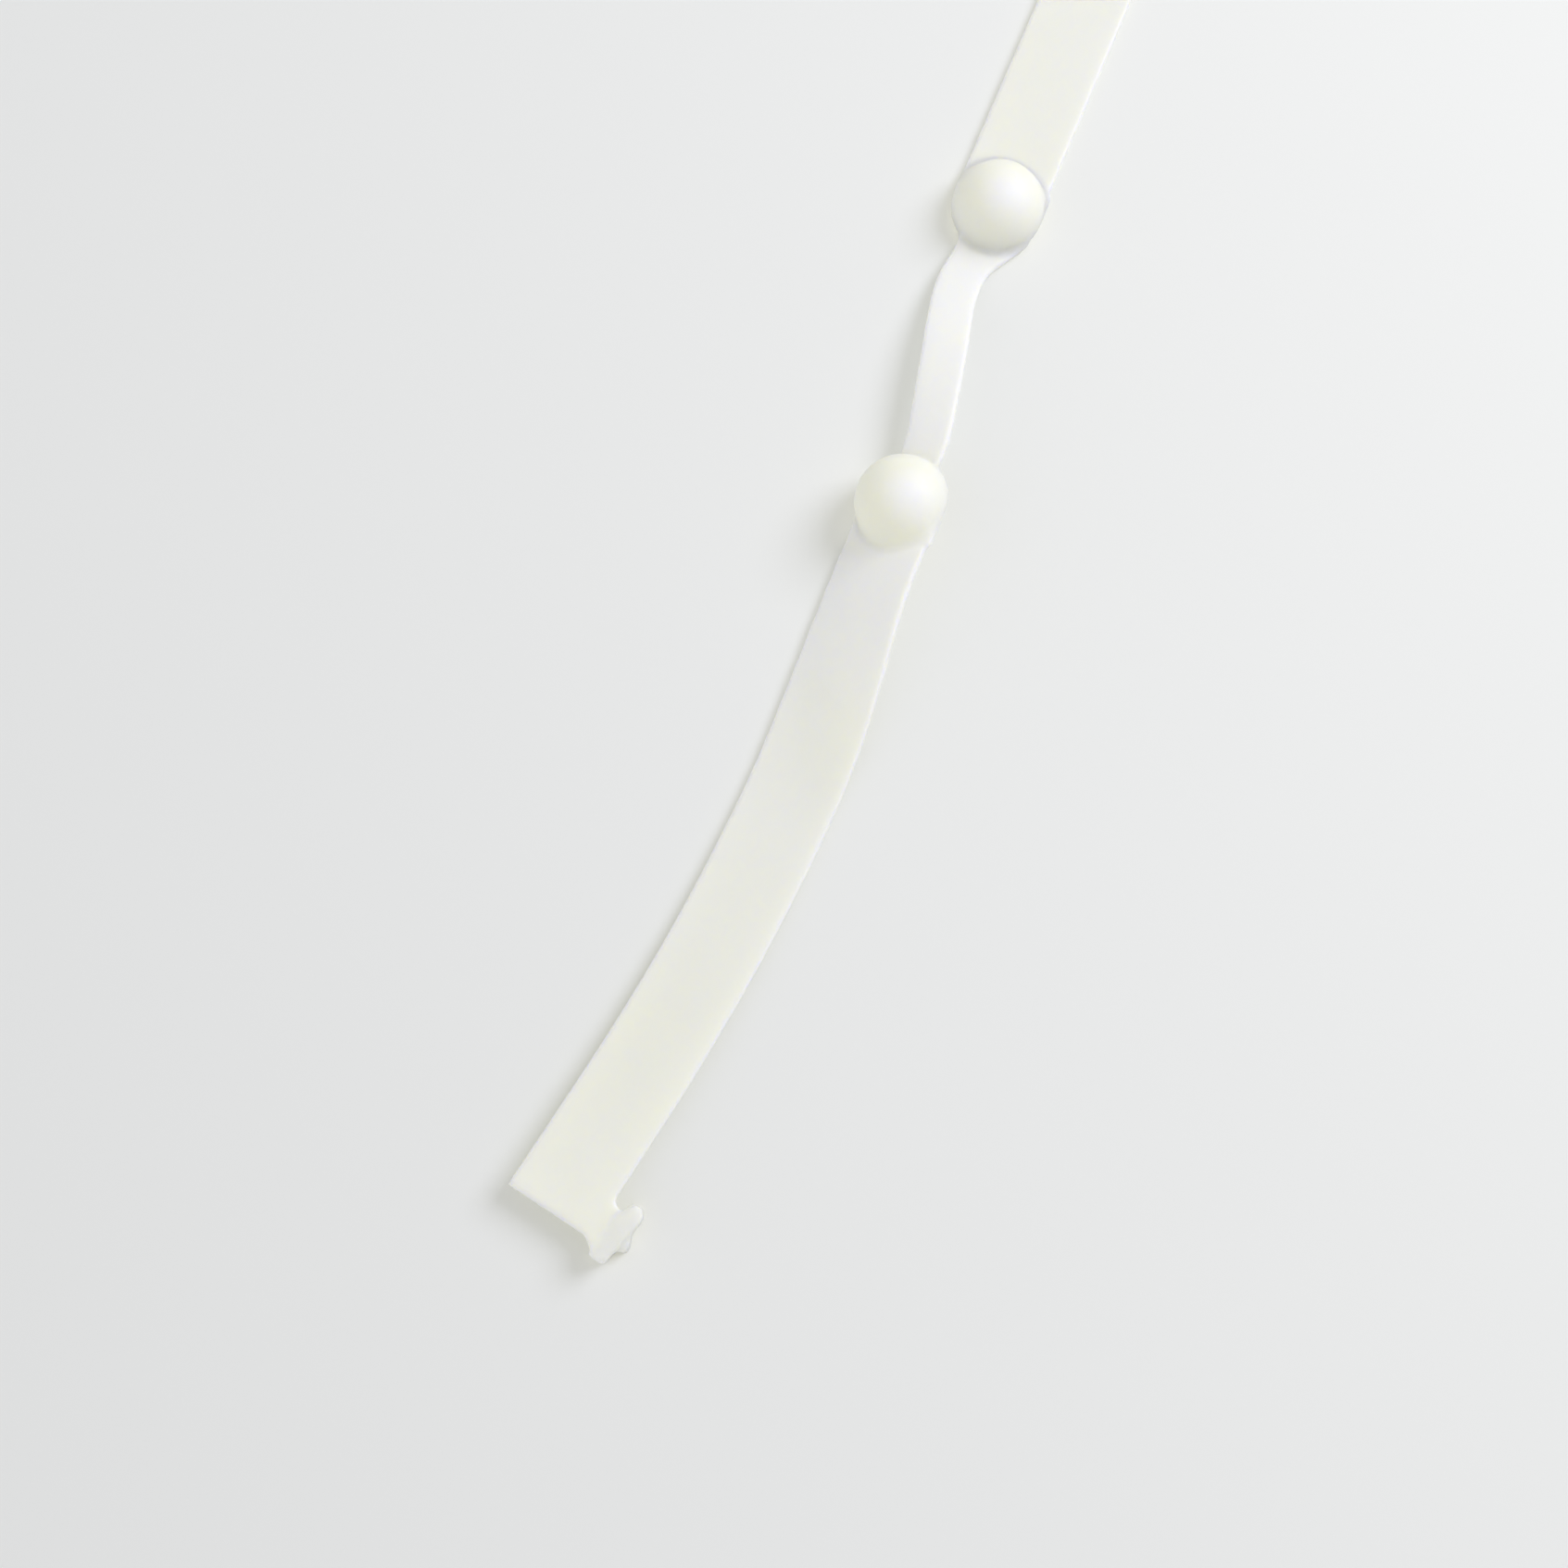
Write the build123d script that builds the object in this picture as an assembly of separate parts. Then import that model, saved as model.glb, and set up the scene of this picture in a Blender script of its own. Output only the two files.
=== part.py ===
from build123d import *
import math
import os

# A one-piece moulded elastomer strap, in millimetres, lying on the plane z = 0.
# A thin flat strip carries two half-ball knobs. A narrow link joins the knobs, and an arm
# runs out from each. The origin is the middle of the first knob's flat back. +X runs from
# the first knob towards the second, and +Z is up.
# The near arm lies flat. The link arches up and twists, so that the second knob is rolled
# on to its -Y edge. The far arm untwists, comes down flat, and lifts again at its end,
# where it stands on a lug whose outer side is torn.

# Strip
ARM_WIDTH = 10.0
LINK_WIDTH = 5.0
THICKNESS = 1.0
EDGE_RADIUS = 0.22
ARM_LENGTH = 82.5

# Knobs
KNOB_RADIUS = 5.2
KNOB_SPACING = 37.5
SECOND_KNOB_SHIFT = 0.84
KNOB_ROLL = 32.0
KNOB_FILLET = 1.1
KNOB_EMBED = 0.1

# Shoulders: the disc's rim runs on beside each arm and ends square
NEAR_SHOULDER = 3.6
FAR_SHOULDER = 4.2

# Near arm
NEAR_ARM_TURN = 4.6

# Far arm: its -Y edge runs straight, round a long bend, and straight again
FAR_ARM_TURN = 4.2
FAR_STRAIGHT = 25.0
FAR_BEND_RADIUS = 239.0
FAR_BEND_ANGLE = 10.6
ROLLED_UNTIL = 7.0
UNROLLED_AT = 36.0
LIFT_FROM = 26.0
LIFT_POWER = 1.5
END_LIFT = 2.4
END_SLANT = 0.45
FAR_SECTIONS = 13

# Link: a flare at the first knob, then its middle line. Y values are measured from the X axis,
# and places along the arch are shares of the way from its bow to its end.
LINK_FLARE = 8.4
FLARE_FROM = 2.1
FLARE_TO = 7.4
LINK_FOOT_Y = 0.2
BOW_X = 8.3
BOW_Y = -1.15
BOW_RISE = 0.35
MIDDLE_PLACE = 0.4
MIDDLE_Y = -0.6
MIDDLE_RISE_SHARE = 0.85
CROWN_PLACE = 0.7
CROWN_Y = 0.45
CROWN_ABOVE_KNOB = 0.7
LINK_END_SHIFT = 0.35
LINK_END_REACH = 1.6
LINK_END_SLOPE = -0.1
LINK_TWIST_POWER = 1.6
LINK_SECTIONS = 12

# Lug, as outlines seen from above. Each point is a distance along the arm past the end's
# +Y corner, then a distance across it.
LUG_OUTLINE = [
    (1.3, 0.7),
    (-3.8, 1.05),
    (-5.4, 1.9),
    (-5.4, 2.8),
    (-4.6, 3.45),
    (-2.9, 3.3),
    (0.0, 2.75),
    (1.1, 2.6),
    (1.5, 2.3),
]
TORN_OUTLINE = [(-2.9, 2.9), (-2.2, 3.6), (-1.1, 3.85), (-0.45, 3.6), (-0.7, 3.15), (0.0, 2.6)]
WEB_OUTLINE = [(-5.9, -0.6), (-4.4, 0.2), (-3.9, 1.3), (1.0, 0.9), (0.0, -0.6)]
LUG_PROUD = 0.25
TORN_LEDGE = 1.3


def cross_plane(point, tangent, roll):
    """A plane across the strip: its x axis lies along the width, its y axis through it."""
    level = Vector(0, 0, 1).cross(tangent).normalized()
    upward = tangent.cross(level).normalized()
    angle = math.radians(roll)
    return Plane(origin=point, x_dir=level * math.cos(angle) + upward * math.sin(angle), z_dir=tangent)


def section(plane, width):
    """One cross-section of the strip, with its corners rounded."""
    return plane * RectangleRounded(width, THICKNESS, EDGE_RADIUS)


def smooth(share):
    """Eases from 0 to 1."""
    share = min(max(share, 0.0), 1.0)
    return share * share * (3 - 2 * share)


def knob():
    """A disc in the strip's thickness with half a ball on it."""
    with BuildPart() as turned:
        with BuildSketch(Plane.XZ):
            with BuildLine():
                Polyline((0, THICKNESS + KNOB_RADIUS), (0, 0), (KNOB_RADIUS, 0), (KNOB_RADIUS, THICKNESS))
                RadiusArc((KNOB_RADIUS, THICKNESS), (0, THICKNESS + KNOB_RADIUS), -KNOB_RADIUS)
            make_face()
        revolve(axis=Axis.Z)
    return turned.part


def fillet_ring():
    """The hollow fillet round the foot of a knob, before it is cut to the strip's width."""
    inside = KNOB_RADIUS - KNOB_EMBED
    outside = KNOB_RADIUS + KNOB_FILLET
    top = THICKNESS + KNOB_FILLET
    with BuildPart() as ring:
        with BuildSketch(Plane.XZ):
            with BuildLine():
                Polyline((KNOB_RADIUS, top), (inside, top), (inside, THICKNESS / 2), (outside, THICKNESS / 2))
                Line((outside, THICKNESS / 2), (outside, THICKNESS))
                RadiusArc((outside, THICKNESS), (KNOB_RADIUS, top), KNOB_FILLET)
            make_face()
        revolve(axis=Axis.Z)
    return ring.part


def knob_with_arm_side(arm_angle, shoulder_length):
    """A knob with its shoulder and fillet towards an arm that leaves at arm_angle."""
    # The knob's rim is flush with the strip's -Y edge, so it stands out on the +Y side.
    side = 1 if abs(arm_angle) < 90 else -1
    reach = KNOB_RADIUS + KNOB_FILLET
    turn = Rot(0, 0, arm_angle if side > 0 else arm_angle - 180)
    over_strip = Box(reach, ARM_WIDTH, 3 * THICKNESS, align=(Align.MIN, Align.MIN, Align.MIN))
    over_strip = Pos(0 if side > 0 else -reach, -KNOB_RADIUS, 0) * over_strip
    shoulder = Box(shoulder_length, KNOB_RADIUS, THICKNESS, align=(Align.MIN, Align.MIN, Align.MIN))
    shoulder = Pos(0 if side > 0 else -shoulder_length, 0, 0) * shoulder
    fillet_part = fillet_ring() & (turn * over_strip)
    return knob() + fillet_part + turn * shoulder


# First knob and near arm, flat on the plane
first_knob = knob_with_arm_side(180 - NEAR_ARM_TURN, NEAR_SHOULDER)
near_turn = math.radians(NEAR_ARM_TURN)
near_tangent = Vector(math.cos(near_turn), -math.sin(near_turn), 0)
near_across = Vector(math.sin(near_turn), math.cos(near_turn), 0)
near_middle = near_across * (ARM_WIDTH / 2 - KNOB_RADIUS) + Vector(0, 0, THICKNESS / 2)
near_end = cross_plane(near_middle - near_tangent * ARM_LENGTH, near_tangent, 0)
near_arm = extrude(section(near_end, ARM_WIDTH), amount=ARM_LENGTH, dir=near_tangent)

# Second knob, rolled about X until its back's -Y side meets the plane
roll = math.radians(KNOB_ROLL)
second_middle = Vector(KNOB_SPACING, SECOND_KNOB_SHIFT, KNOB_RADIUS * math.sin(roll))
second_place = Location(second_middle, (KNOB_ROLL, 0, 0))
second_knob = second_place * knob_with_arm_side(-FAR_ARM_TURN, FAR_SHOULDER)

# Far arm: the route of its -Y bottom edge, seen from above
first_heading = math.radians(-FAR_ARM_TURN)
edge_start = second_middle - Vector(0, math.cos(roll), math.sin(roll)) * KNOB_RADIUS
straight = Vector(math.cos(first_heading), math.sin(first_heading), 0)
edge_one = Line(edge_start, edge_start + straight * FAR_STRAIGHT)
edge_two = JernArc(edge_one @ 1, straight, FAR_BEND_RADIUS, -FAR_BEND_ANGLE)
edge_left = ARM_LENGTH - edge_one.length - edge_two.length
edge_three = Line(edge_two @ 1, (edge_two @ 1) + (edge_two % 1) * edge_left)
edge_route = Wire([edge_one, edge_two, edge_three])


def far_plane(distance):
    """The plane across the far arm, centred on its section, at a distance along its edge."""
    share = distance / ARM_LENGTH
    lifted = max(distance - LIFT_FROM, 0) / (ARM_LENGTH - LIFT_FROM)
    slope = END_LIFT * LIFT_POWER * lifted ** (LIFT_POWER - 1) / (ARM_LENGTH - LIFT_FROM)
    tangent = (edge_route.tangent_at(share) + Vector(0, 0, slope)).normalized()
    corner = edge_route.position_at(share) + Vector(0, 0, END_LIFT * lifted ** LIFT_POWER)
    untwist = smooth((distance - ROLLED_UNTIL) / (UNROLLED_AT - ROLLED_UNTIL))
    plane = cross_plane(corner, tangent, KNOB_ROLL * (1 - untwist))
    centre = plane.from_local_coords((ARM_WIDTH / 2, THICKNESS / 2))
    return Plane(origin=centre, x_dir=plane.x_dir, z_dir=plane.z_dir)


far_stations = [ARM_LENGTH * i / FAR_SECTIONS for i in range(FAR_SECTIONS + 1)]
far_arm = loft([section(far_plane(distance), ARM_WIDTH) for distance in far_stations])
end_plane = far_plane(ARM_LENGTH)
slant = math.degrees(math.atan(END_SLANT / THICKNESS))
end_cut = Box(2 * ARM_WIDTH, 4 * THICKNESS, ARM_WIDTH, align=(Align.CENTER, Align.CENTER, Align.MIN))
far_arm -= end_plane * Rot(-slant, 0, 0) * end_cut

# Link: an arch that starts flat at the first knob and ends inside the second knob's disc
second_across = Vector(0, math.cos(roll), math.sin(roll))
second_upward = Vector(0, -math.sin(roll), math.cos(roll))
rim_depth = Vector(KNOB_RADIUS - LINK_END_REACH, 0, 0)
link_end = second_middle + second_upward * (THICKNESS / 2) + second_across * LINK_END_SHIFT - rim_depth
crown_rise = second_middle.Z + CROWN_ABOVE_KNOB
arch_length = link_end.X - BOW_X
link_route = Spline(
    (FLARE_FROM, LINK_FOOT_Y, THICKNESS / 2),
    (BOW_X, BOW_Y, THICKNESS / 2 + BOW_RISE),
    (BOW_X + MIDDLE_PLACE * arch_length, MIDDLE_Y, THICKNESS / 2 + MIDDLE_RISE_SHARE * crown_rise),
    (BOW_X + CROWN_PLACE * arch_length, CROWN_Y, THICKNESS / 2 + crown_rise),
    link_end,
    tangents=[(1, 0, 0), (1, 0, LINK_END_SLOPE)],
)


def link_section(share):
    """The link's cross-section at a share of its middle line."""
    point = link_route.position_at(share)
    flare = 1 - smooth((point.X - FLARE_FROM) / (FLARE_TO - FLARE_FROM))
    twist = max(point.X - BOW_X, 0) / arch_length
    plane = cross_plane(point, link_route.tangent_at(share), KNOB_ROLL * twist**LINK_TWIST_POWER)
    return section(plane, LINK_WIDTH + (LINK_FLARE - LINK_WIDTH) * flare)


link = loft([link_section(i / LINK_SECTIONS) for i in range(LINK_SECTIONS + 1)])

# The first knob's fillet also runs on to the link's flare
link_foot = Box(
    KNOB_RADIUS + KNOB_FILLET, LINK_WIDTH, 3 * THICKNESS, align=(Align.MIN, Align.CENTER, Align.MIN)
)
link_fillet = fillet_ring() & (Pos(0, BOW_Y / 2, 0) * link_foot)

# Lug: a thick block beside the end's +Y corner, joined to the strip by a thin web
corner = end_plane.from_local_coords((ARM_WIDTH / 2, 0))
heading = Vector(end_plane.z_dir.X, end_plane.z_dir.Y, 0).normalized()
lug_base = Plane(origin=(corner.X, corner.Y, 0), x_dir=heading, z_dir=(0, 0, 1))
lug_top = END_LIFT + THICKNESS + LUG_PROUD
lug = lug_base * extrude(make_face(Polyline(LUG_OUTLINE, close=True)), amount=lug_top)
torn_face = make_face(Polyline(TORN_OUTLINE, close=True))
torn_bump = lug_base * extrude(torn_face, amount=lug_top - TORN_LEDGE)
web_face = make_face(Polyline(WEB_OUTLINE, close=True))
web_plane = Plane(origin=corner, x_dir=end_plane.z_dir, z_dir=end_plane.y_dir)
web = web_plane * extrude(web_face, amount=THICKNESS / 2, both=True)

strap = near_arm + first_knob + link + link_fillet + second_knob + far_arm + web + lug + torn_bump

os.makedirs("parts", exist_ok=True)
export_step(strap, "parts/strap.step")
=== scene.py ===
import bmesh
import bpy
from mathutils import Matrix, Vector, noise


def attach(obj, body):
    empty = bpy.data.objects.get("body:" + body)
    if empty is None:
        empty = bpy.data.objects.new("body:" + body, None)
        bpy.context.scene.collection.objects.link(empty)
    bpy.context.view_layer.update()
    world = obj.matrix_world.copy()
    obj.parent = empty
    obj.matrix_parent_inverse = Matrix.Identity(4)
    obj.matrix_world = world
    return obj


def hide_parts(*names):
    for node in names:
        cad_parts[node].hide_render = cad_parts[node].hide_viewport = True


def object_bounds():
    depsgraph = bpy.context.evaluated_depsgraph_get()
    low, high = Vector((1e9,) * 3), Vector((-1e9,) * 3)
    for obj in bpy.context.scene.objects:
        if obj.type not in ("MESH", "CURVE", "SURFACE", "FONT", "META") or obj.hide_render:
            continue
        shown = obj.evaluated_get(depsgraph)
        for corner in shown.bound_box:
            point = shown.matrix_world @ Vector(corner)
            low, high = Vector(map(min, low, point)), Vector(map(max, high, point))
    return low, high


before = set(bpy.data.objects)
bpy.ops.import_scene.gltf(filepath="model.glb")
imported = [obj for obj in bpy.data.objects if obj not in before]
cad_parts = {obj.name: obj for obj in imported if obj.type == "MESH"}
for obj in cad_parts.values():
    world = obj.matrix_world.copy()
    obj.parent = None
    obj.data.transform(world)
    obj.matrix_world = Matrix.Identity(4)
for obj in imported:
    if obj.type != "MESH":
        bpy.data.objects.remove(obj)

cad_low, cad_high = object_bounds()

# ---------------------------------------------------------------------------
# Strap: one molding of soft, translucent elastomer. Near arm, first knob, link, second knob,
# far arm, web and lug are one piece, so they are one mesh, with the joins between them drawn
# together and every edge softened as it comes out of the mold.
# ---------------------------------------------------------------------------
MM = 0.001
VOXEL = 0.25 * MM
WELD = 0.002 * MM
SMOOTH_PASSES = 3

shape = bmesh.new()
shape.from_mesh(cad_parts["strap"].data)
bmesh.ops.remove_doubles(shape, verts=shape.verts, dist=WELD)
draft_mesh = bpy.data.meshes.new("strap_draft")
shape.to_mesh(draft_mesh)
shape.free()
draft = bpy.data.objects.new("strap_draft", draft_mesh)
bpy.context.scene.collection.objects.link(draft)
remesh = draft.modifiers.new("even mesh", "REMESH")
remesh.mode = "VOXEL"
remesh.voxel_size = VOXEL
remesh.adaptivity = 0.0
bpy.context.view_layer.update()
graph = bpy.context.evaluated_depsgraph_get()
strap_mesh = bpy.data.meshes.new_from_object(draft.evaluated_get(graph))
strap_mesh.name = "strap_molding"
bpy.data.objects.remove(draft)
bpy.data.meshes.remove(draft_mesh)

shape = bmesh.new()
shape.from_mesh(strap_mesh)
for _ in range(SMOOTH_PASSES):
    bmesh.ops.smooth_vert(
        shape, verts=shape.verts, factor=0.5, use_axis_x=True, use_axis_y=True, use_axis_z=True
    )
bmesh.ops.recalc_face_normals(shape, faces=shape.faces)
shape.normal_update()

# The molding's faces aren't dead flat: they sink and swell a few hundredths of a millimetre
# over about a centimetre. The resting faces stay flat.
SWELL_SPAN = 9 * MM
SWELL_HEIGHT = 0.035 * MM
RESTING_BELOW = 0.25 * MM
for vert in shape.verts:
    swell = noise.noise(vert.co / SWELL_SPAN) * SWELL_HEIGHT
    if vert.co.z > RESTING_BELOW:
        vert.co += vert.normal * swell

# Torn side of the lug: the wall was pulled off here, so the face is rough and pitted, and
# rougher the farther out it lies.
ARM_ACROSS = Vector((0.255, 0.967, 0))
LUG_INNER = 25.6 * MM
LUG_FROM_X = 115 * MM
TORN_RUN = 2.6 * MM
TORN_PIT = 0.9 * MM
TORN_GRAIN = 0.35 * MM
for vert in shape.verts:
    outward = (vert.co.dot(ARM_ACROSS) - LUG_INNER) / TORN_RUN
    if vert.co.x > LUG_FROM_X and outward > 0:
        torn = min(outward, 1.0) ** 2
        rough = noise.fractal(vert.co / TORN_PIT, 0.9, 2.0, 3)
        grain = noise.noise(vert.co / TORN_GRAIN)
        vert.co -= vert.normal * torn * (0.09 + 0.13 * rough + 0.04 * grain) * MM

# The worked faces stay just inside the molding's true box.
BOX_INSET = 0.002 * MM
for vert in shape.verts:
    for axis in range(3):
        low = cad_low[axis] + BOX_INSET
        high = cad_high[axis] - BOX_INSET
        vert.co[axis] = min(max(vert.co[axis], low), high)

# Four shares from 0 to 1, for the colour. Thick is 1 in the knobs and the lug and 0 in the thin strip. A
# painted highlight rises to 1 near each knob's top. Link is 1 along the drawn-out link. A painted edge
# highlight, a fine white line, is 1 on the turned edges of the strip.
KNOB_MIDDLES = (Vector((0, 0, 1.0)) * MM, Vector((37.5, 0.31, 3.6)) * MM)
KNOB_RADIUS = 5.2 * MM
KNOB_EDGE = 1.22
KNOB_FADE = 0.16
WEB_FADE = 0.5 * MM
LINK_FROM_X = 4.5 * MM
LINK_TO_X = 33.0 * MM
LINK_FADE = 4 * MM
# Painted highlight on each knob: a paler spot a little off its top, fading out over this radius.
HIGHLIGHT_SHIFT = Vector((0.6, 0.9, 0)) * MM
HIGHLIGHT_RADIUS = 3.4 * MM
# Painted edge highlight: where the surface turns over at the strip's edges, it is painted paler as a fine
# white line.
EDGE_HIGHLIGHT_SLOPE = 0.6
EDGE_HIGHLIGHT_SPREAD = 0.35
layers = {name: shape.verts.layers.float.new(name) for name in ("thick", "rim", "link", "painted_highlight")}
shape.normal_update()
for vert in shape.verts:
    thick = 0.0
    for middle in KNOB_MIDDLES:
        away = (vert.co - middle).length / KNOB_RADIUS
        thick = max(thick, min(max((KNOB_EDGE - away) / KNOB_FADE, 0.0), 1.0))
    if vert.co.x > LUG_FROM_X:
        past_web = (vert.co.dot(ARM_ACROSS) - LUG_INNER) / WEB_FADE
        thick = max(thick, min(max(past_web, 0.0), 1.0))
    from_ends = min(vert.co.x - LINK_FROM_X, LINK_TO_X - vert.co.x) / LINK_FADE
    # Painted highlight: a paler spot near each knob's top.
    painted_highlight = max(1 - (vert.co - middle - HIGHLIGHT_SHIFT).xy.length / HIGHLIGHT_RADIUS for middle in KNOB_MIDDLES)
    # Painted edge highlight along the turned edges of the strip.
    slope = abs(abs(vert.normal.z) - EDGE_HIGHLIGHT_SLOPE) / EDGE_HIGHLIGHT_SPREAD
    vert[layers["thick"]] = thick
    vert[layers["link"]] = min(max(from_ends, 0.0), 1.0) * (1 - thick)
    vert[layers["painted_highlight"]] = max(painted_highlight, 0.0) * thick
    vert[layers["rim"]] = max(1 - slope, 0.0) ** 0.5 * (1 - thick)
for face in shape.faces:
    face.smooth = True
shape.to_mesh(strap_mesh)
shape.free()
strap = bpy.data.objects.new("strap_visual", strap_mesh)
bpy.context.scene.collection.objects.link(strap)
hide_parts("strap")
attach(strap, "root")


def hex_linear(text):
    """An sRGB hex colour as the linear RGBA that the shaders take."""
    parts = [int(text[i : i + 2], 16) / 255 for i in (1, 3, 5)]
    return [c / 12.92 if c <= 0.04045 else ((c + 0.055) / 1.055) ** 2.4 for c in parts] + [1.0]


def add_node(tree, kind, settings=None, links=None, **values):
    """Adds a shader node, with its settings, its socket values and the sockets that feed it."""
    node = tree.nodes.new(kind)
    for name, value in (settings or {}).items():
        setattr(node, name, value)
    for name, value in values.items():
        node.inputs[name.replace("_", " ")].default_value = value
    for target, source in (links or {}).items():
        tree.links.new(source, node.inputs[target])
    return node


# Translucent elastomer, molded: cloudy and faintly yellow-green, so light goes some millimetres
# in and comes out soft. The clouds are two centimetres wide and barely show.
MIX_SHARE, MIX_FROM, MIX_TO, MIX_OUT = 0, 6, 7, 2  # a colour mix's sockets share their names
elastomer = bpy.data.materials.new("translucent molded elastomer")
elastomer.use_nodes = True
tree = elastomer.node_tree
tree.nodes.clear()
place = add_node(tree, "ShaderNodeTexCoord").outputs["Object"]
clouds = add_node(
    tree, "ShaderNodeTexNoise", links={"Vector": place}, Scale=48.0, Detail=2.0, Roughness=0.5
).outputs["Fac"]
flow = add_node(
    tree, "ShaderNodeMapRange", links={"Value": clouds}, From_Min=0.3, From_Max=0.7, To_Min=0.0, To_Max=1.0
).outputs["Result"]
cloudy = add_node(tree, "ShaderNodeMix", {"data_type": "RGBA"}, {MIX_SHARE: flow})
cloudy.inputs[MIX_FROM].default_value = hex_linear("#FBFAE9")
cloudy.inputs[MIX_TO].default_value = hex_linear("#FCFBED")

# Knobs and lug look yellower where they are thick, with a painted highlight as a paler spot near each
# knob's top. The drawn-out link is nearly clear grey, and the turned edges get a painted highlight as fine
# white lines.
TINTS = (("thick", "#FAF8E6"), ("painted_highlight", "#FFFFFB"), ("link", "#F6F7F3"), ("rim", "#FFFFFC"))
colour = cloudy.outputs[MIX_OUT]
shares = {}
for layer, tint in TINTS:
    shares[layer] = add_node(tree, "ShaderNodeAttribute", {"attribute_name": layer}).outputs["Fac"]
    mixed = add_node(
        tree, "ShaderNodeMix", {"data_type": "RGBA"}, {MIX_SHARE: shares[layer], MIX_FROM: colour}
    )
    mixed.inputs[MIX_TO].default_value = hex_linear(tint)
    colour = mixed.outputs[MIX_OUT]
STRIP_REACH = 1.8 * MM
KNOB_REACH = 8 * MM
reach = add_node(
    tree,
    "ShaderNodeMapRange",
    links={"Value": shares["thick"]},
    From_Min=0.0,
    From_Max=1.0,
    To_Min=STRIP_REACH,
    To_Max=KNOB_REACH,
).outputs["Result"]

# The mold was lightly blasted, which leaves a grain of about 0.6 mm on every face. The real one
# is finer: it is drawn this coarse so that it shows.
GRAIN_DEPTH = 0.02 * MM
grain = add_node(
    tree, "ShaderNodeTexNoise", links={"Vector": place}, Scale=1600.0, Detail=3.0, Roughness=0.55
).outputs["Fac"]
bump = add_node(
    tree, "ShaderNodeBump", links={"Height": grain}, Strength=0.25, Distance=GRAIN_DEPTH
).outputs["Normal"]
skin = add_node(
    tree,
    "ShaderNodeBsdfPrincipled",
    links={"Base Color": colour, "Normal": bump, "Subsurface Scale": reach},
    Roughness=0.5,
    IOR=1.41,
    Transmission_Weight=0.06,
    Subsurface_Weight=1.0,
    Subsurface_Radius=(1.0, 0.95, 0.6),
)

# Part of the lamplight goes straight through, so the strap's shadow is pale and faintly yellow.
LIGHT_THROUGH = 0.57
through = add_node(tree, "ShaderNodeBsdfTransparent", Color=hex_linear("#FBFAEC"))
shadow_ray = add_node(tree, "ShaderNodeLightPath").outputs["Is Shadow Ray"]
passing = add_node(tree, "ShaderNodeMath", {"operation": "MULTIPLY"}, {0: shadow_ray})
passing.inputs[1].default_value = LIGHT_THROUGH
body = add_node(
    tree,
    "ShaderNodeMixShader",
    links={0: passing.outputs[0], 1: skin.outputs["BSDF"], 2: through.outputs["BSDF"]},
)
add_node(tree, "ShaderNodeOutputMaterial", links={"Surface": body.outputs["Shader"]})
strap_mesh.materials.clear()
strap_mesh.materials.append(elastomer)

# ---------------------------------------------------------------------------
# Table top: plain pale laminate, which the strap lies on. It isn't part of the object, and lies
# a hair below the resting faces so that the two never share a plane.
# ---------------------------------------------------------------------------
FLOOR_HALF = 1.5
FLOOR_MIDDLE_X = 0.07
FLOOR_DROP = 0.03 * MM
shape = bmesh.new()
bmesh.ops.create_grid(shape, x_segments=1, y_segments=1, size=FLOOR_HALF)
for vert in shape.verts:
    vert.co += Vector((FLOOR_MIDDLE_X, 0.0, -FLOOR_DROP))
floor_mesh = bpy.data.meshes.new("table_top")
shape.to_mesh(floor_mesh)
shape.free()
floor = bpy.data.objects.new("table_top", floor_mesh)
bpy.context.scene.collection.objects.link(floor)

# Pale matte laminate: dull all over, so it shows the strap's shadow and no reflection.
laminate = bpy.data.materials.new("pale matte laminate")
laminate.use_nodes = True
tree = laminate.node_tree
tree.nodes.clear()
matte = add_node(
    tree,
    "ShaderNodeBsdfPrincipled",
    Base_Color=hex_linear("#ECEDED"),
    Roughness=1.0,
    Specular_IOR_Level=0.2,
)
add_node(tree, "ShaderNodeOutputMaterial", links={"Surface": matte.outputs["BSDF"]})
floor_mesh.materials.append(laminate)

# ---------------------------------------------------------------------------
# Light: a pale room, a little brighter on its +X, -Y side, and one wide lamp like a window,
# 42 degrees up on the -X, +Y side. What is seen of the room itself is an even pale grey.
# ---------------------------------------------------------------------------
BRIGHT_SIDE = (0.708, -0.640, 0.309)
world = bpy.data.worlds.new("pale room")
bpy.context.scene.world = world
world.use_nodes = True
tree = world.node_tree
tree.nodes.clear()
facing = add_node(tree, "ShaderNodeTexCoord").outputs["Generated"]
across = add_node(tree, "ShaderNodeVectorMath", {"operation": "DOT_PRODUCT"}, {0: facing})
across.inputs[1].default_value = BRIGHT_SIDE
glow = add_node(
    tree,
    "ShaderNodeMapRange",
    {"interpolation_type": "SMOOTHSTEP"},
    {"Value": across.outputs["Value"]},
    From_Min=0.45,
    From_Max=1.0,
    To_Min=0.47,
    To_Max=1.05,
).outputs["Result"]
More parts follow.
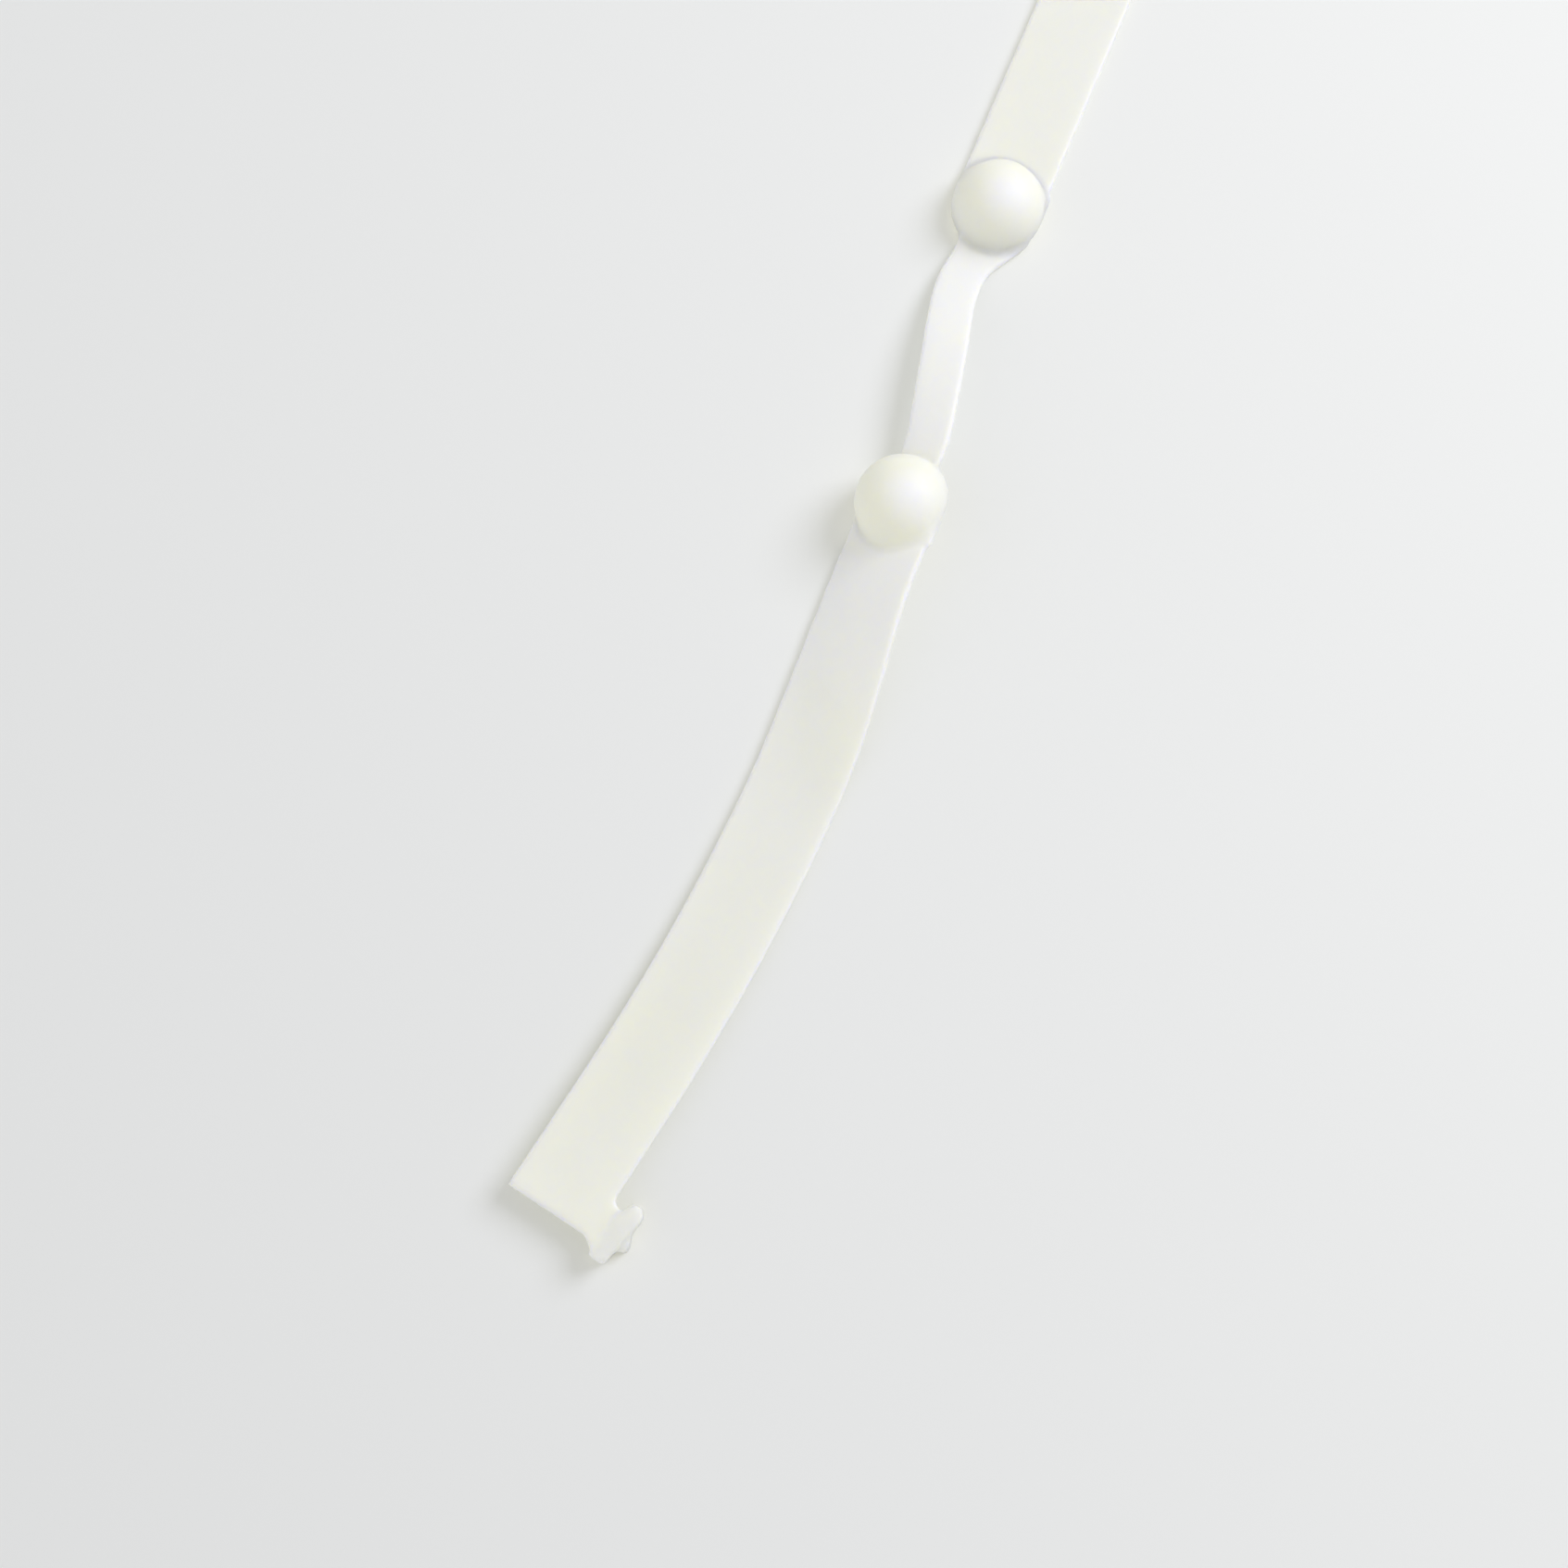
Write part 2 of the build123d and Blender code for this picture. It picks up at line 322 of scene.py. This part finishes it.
room = add_node(tree, "ShaderNodeBackground", links={"Strength": glow}, Color=hex_linear("#FFFFFF"))
wall = add_node(tree, "ShaderNodeBackground", Color=hex_linear("#EFF0F0"), Strength=1.0)
ray = add_node(tree, "ShaderNodeLightPath").outputs
seen = ray["Is Camera Ray"]
for kind in ("Is Glossy Ray", "Is Transmission Ray"):
    seen = add_node(
        tree, "ShaderNodeMath", {"operation": "MAXIMUM"}, {0: seen, 1: ray[kind]}
    ).outputs[0]
backdrop = add_node(
    tree,
    "ShaderNodeMixShader",
    links={0: seen, 1: room.outputs["Background"], 2: wall.outputs["Background"]},
)
add_node(tree, "ShaderNodeOutputWorld", links={"Surface": backdrop.outputs["Shader"]})

MIDDLE = Vector((0.0702, -0.0024, 0.0))
TOWARDS_LAMP = Vector((-0.552, 0.497, 0.669))
LAMP_DISTANCE = 0.87
lamp_data = bpy.data.lights.new("window", "AREA")
lamp_data.shape = "DISK"
lamp_data.size = 0.52
lamp_data.energy = 4.6
lamp = bpy.data.objects.new("window", lamp_data)
bpy.context.scene.collection.objects.link(lamp)
lamp.location = MIDDLE + TOWARDS_LAMP * LAMP_DISTANCE
lamp.rotation_euler = TOWARDS_LAMP.to_track_quat("Z", "Y").to_euler()

# ---------------------------------------------------------------------------
# Camera: 0.23 m above the far arm's end, 12 degrees off straight down, with a 50 mm lens. Its
# upright runs nearly along -X, so the near arm leaves at the top of the view.
# ---------------------------------------------------------------------------
EYE = (0.116019, 0.012438, 0.226602)
RIGHT = Vector((-0.3086912, 0.9511623, 0.0))
UP = Vector((-0.9303771, -0.3019455, 0.2079117))
back = RIGHT.cross(UP)
camera_data = bpy.data.cameras.new("camera")
camera_data.lens = 50
camera_data.sensor_width = 36
camera_data.clip_start = 0.01
camera = bpy.data.objects.new("camera", camera_data)
bpy.context.scene.collection.objects.link(camera)
rows = [(RIGHT[axis], UP[axis], back[axis], EYE[axis]) for axis in range(3)]
camera.matrix_world = Matrix(rows + [(0, 0, 0, 1)])
bpy.context.scene.camera = camera
bpy.context.scene.view_settings.view_transform = "Standard"
